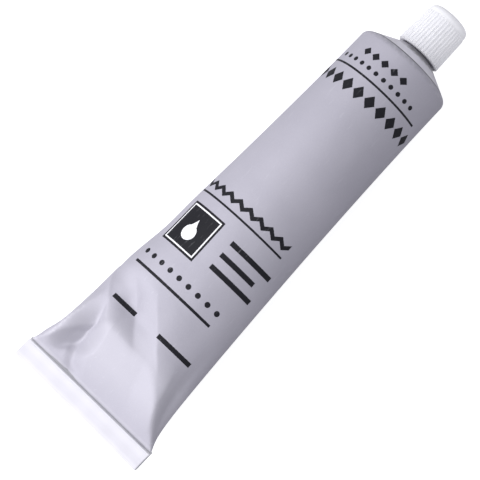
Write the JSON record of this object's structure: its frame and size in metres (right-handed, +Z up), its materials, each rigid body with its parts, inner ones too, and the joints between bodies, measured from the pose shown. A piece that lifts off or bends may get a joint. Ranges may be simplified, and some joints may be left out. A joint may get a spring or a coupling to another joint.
{
  "type": "craft glue tube",
  "caption": "Collapsible metal tube of craft glue with a flattened, folded end, a sloped shoulder and a threaded nozzle, closed by a ribbed screw cap.",
  "frame": {"origin": "centre of the bounding box's underside, on the surface that the tube lies on", "axes": "+X towards the cap, with the tube's axis rising 3.3 degrees that way; +Y across the folded end; +Z up, out of the tube's front"},
  "size_m": [0.1102, 0.0348, 0.0229],
  "materials": {
    "tube_metal": "satin silver-lilac enamel, white on the folded end",
    "sealing_compound": "matt",
    "adhesive": "glossy, nearly clear",
    "foil": "bright",
    "liner": "foam",
    "cap_plastic": "satin white"
  },
  "bodies": {
    "tube": {"tube_shell": "tube_metal", "end_seal": "sealing_compound", "adhesive": "adhesive", "nozzle_foil": "foil"},
    "liner": {"cap_liner": "liner"},
    "cap": {"screw_cap": "cap_plastic"}
  },
  "joints": [
    {"name": "cap_lift", "type": "slide", "parent": "tube", "child": "liner", "axis": [0.9983, 0, 0.0575], "range_m": [0, 0.009]},
    {"name": "cap_turn", "type": "hinge", "parent": "liner", "child": "cap", "pos_m": [0.04469, 0, 0.01218], "axis": [0.9983, 0, 0.0575], "range_deg": [0, 1620]}
  ],
  "couplings": [
    {"joint": "cap_turn", "follows": "cap_lift", "rad_per_m": 3141.6}
  ]
}
